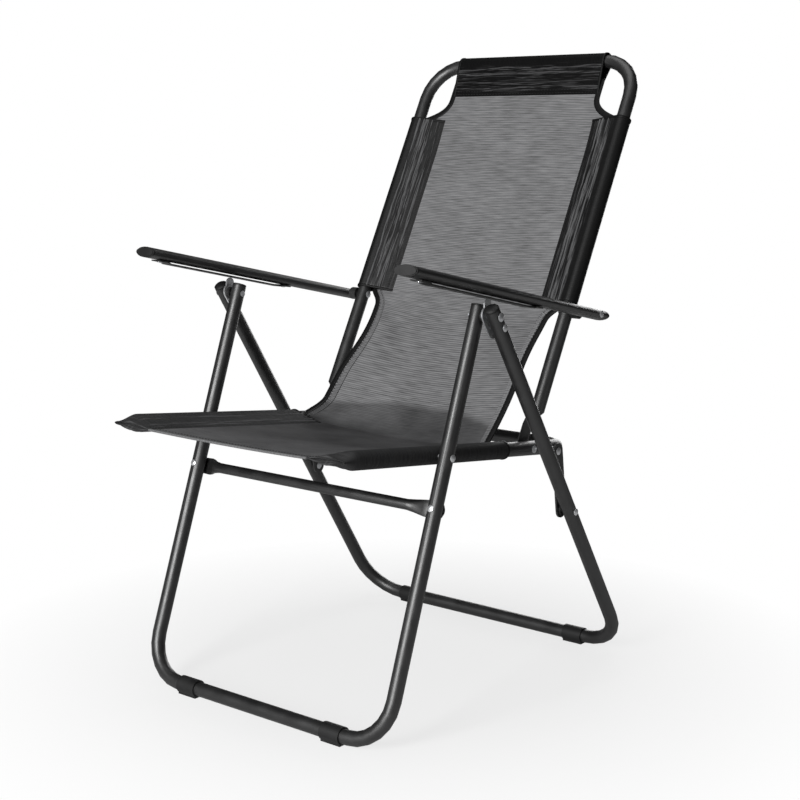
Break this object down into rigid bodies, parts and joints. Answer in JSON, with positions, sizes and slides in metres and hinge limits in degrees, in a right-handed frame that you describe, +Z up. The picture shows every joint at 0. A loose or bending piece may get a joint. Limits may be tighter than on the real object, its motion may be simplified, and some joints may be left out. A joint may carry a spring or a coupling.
{
  "type": "folding lawn chair",
  "caption": "Folding lawn chair of bent steel tube with a sewn mesh sling, reclining back on toothed arms, crossed leg frames and foot sleeves.",
  "frame": {"origin": "centre of the footprint box, on the floor", "axes": "+Z up, the chair faces -Y, X is the width"},
  "size_m": [0.562, 0.768, 0.9734],
  "materials": {
    "black_steel": "satin black powder coat",
    "zinc_steel": "bright zinc plate",
    "black_plastic": "moulded black",
    "sling_mesh": "woven coated mesh"
  },
  "bodies": {
    "front_legs": {"front_leg_frame": "black_steel", "front_stretcher": "black_steel", "stretcher_rivet_left": "zinc_steel", "stretcher_rivet_right": "zinc_steel", "front_foot_left": "black_plastic", "front_foot_right": "black_plastic", "front_leg_cap_left": "black_plastic", "front_leg_cap_right": "black_plastic", "seat_rivet_left": "zinc_steel", "seat_rivet_right": "zinc_steel"},
    "rear_legs": {"rear_leg_frame": "black_steel", "rear_foot_left": "black_plastic", "rear_foot_right": "black_plastic", "rear_leg_cap_left": "black_plastic", "rear_leg_cap_right": "black_plastic", "hinge_plate_left": "zinc_steel", "hinge_plate_right": "zinc_steel", "hinge_washer_left": "black_plastic", "hinge_washer_right": "black_plastic", "hinge_rivet_left": "zinc_steel", "hinge_rivet_right": "zinc_steel", "plate_rivet_left": "zinc_steel", "plate_rivet_right": "zinc_steel", "link_leg_rivet_left": "zinc_steel", "link_leg_rivet_right": "zinc_steel", "link_washer_left": "black_plastic", "link_washer_right": "black_plastic"},
    "links": {"seat_link_left": "black_steel", "seat_link_right": "black_steel", "link_top_rivet_left": "zinc_steel", "link_top_rivet_right": "zinc_steel"},
    "seat": {"seat_frame": "black_steel", "seat_sling": "sling_mesh", "link_pin_left": "zinc_steel", "link_pin_right": "zinc_steel", "rail_plug_left": "black_plastic", "rail_plug_right": "black_plastic"},
    "back_pins": {"sling_lumbar": "sling_mesh", "back_rivet_left": "zinc_steel", "back_rivet_right": "zinc_steel"},
    "back": {"back_frame": "black_steel", "back_sling": "sling_mesh"},
    "arm_pins": {"arm_bolt_left": "zinc_steel", "arm_bolt_right": "zinc_steel", "arm_spacer_left": "black_steel", "arm_spacer_right": "black_steel"},
    "arm_left": {"arm_tube_left": "black_steel", "arm_front_cap_left": "black_plastic", "arm_rear_cap_left": "black_plastic", "arm_comb_left": "black_steel", "comb_rivet_front_left": "zinc_steel", "comb_rivet_rear_left": "zinc_steel"},
    "arm_right": {"arm_tube_right": "black_steel", "arm_front_cap_right": "black_plastic", "arm_rear_cap_right": "black_plastic", "arm_comb_right": "black_steel", "comb_rivet_front_right": "zinc_steel", "comb_rivet_rear_right": "zinc_steel"}
  },
  "joints": [
    {"name": "fold", "type": "hinge", "parent": "front_legs", "child": "rear_legs", "pos_m": [0, -0.11079, 0.59135], "axis": [-1, 0, 0], "range_deg": [0, 45]},
    {"name": "seat_swing", "type": "hinge", "parent": "front_legs", "child": "seat", "pos_m": [0, -0.17991, 0.39835], "axis": [-1, 0, 0], "range_deg": [0, 76.25]},
    {"name": "link_swing", "type": "hinge", "parent": "rear_legs", "child": "links", "pos_m": [0, 0.09366, 0.27282], "axis": [-1, 0, 0], "range_deg": [0, 115.74]},
    {"name": "back_fold", "type": "hinge", "parent": "seat", "child": "back_pins", "pos_m": [0, 0.06051, 0.36905], "axis": [1, 0, 0], "range_deg": [0, 76.01]},
    {"name": "recline", "type": "hinge", "parent": "back_pins", "child": "back", "pos_m": [0, 0.06051, 0.36905], "axis": [-1, 0, 0], "range_deg": [0, 38], "deforming": ["sling_lumbar"]},
    {"name": "arm_fold", "type": "hinge", "parent": "back", "child": "arm_pins", "pos_m": [0, 0.16603, 0.57003], "axis": [-1, 0, 0], "range_deg": [0, 71.51]},
    {"name": "arm_tilt_left", "type": "hinge", "parent": "arm_pins", "child": "arm_left", "pos_m": [0, 0.16603, 0.57003], "axis": [1, 0, 0], "range_deg": [0, 25.5]},
    {"name": "arm_tilt_right", "type": "hinge", "parent": "arm_pins", "child": "arm_right", "pos_m": [0, 0.16603, 0.57003], "axis": [1, 0, 0], "range_deg": [0, 25.5]}
  ],
  "couplings": [
    {"joint": "seat_swing", "follows": "fold", "ratio": 1.6943},
    {"joint": "link_swing", "follows": "fold", "ratio": 2.5719},
    {"joint": "back_fold", "follows": "fold", "ratio": 1.6889},
    {"joint": "arm_fold", "follows": "fold", "ratio": 1.5889},
    {"joint": "arm_tilt_left", "follows": "recline", "ratio": 0.67},
    {"joint": "arm_tilt_right", "follows": "recline", "ratio": 0.67}
  ]
}
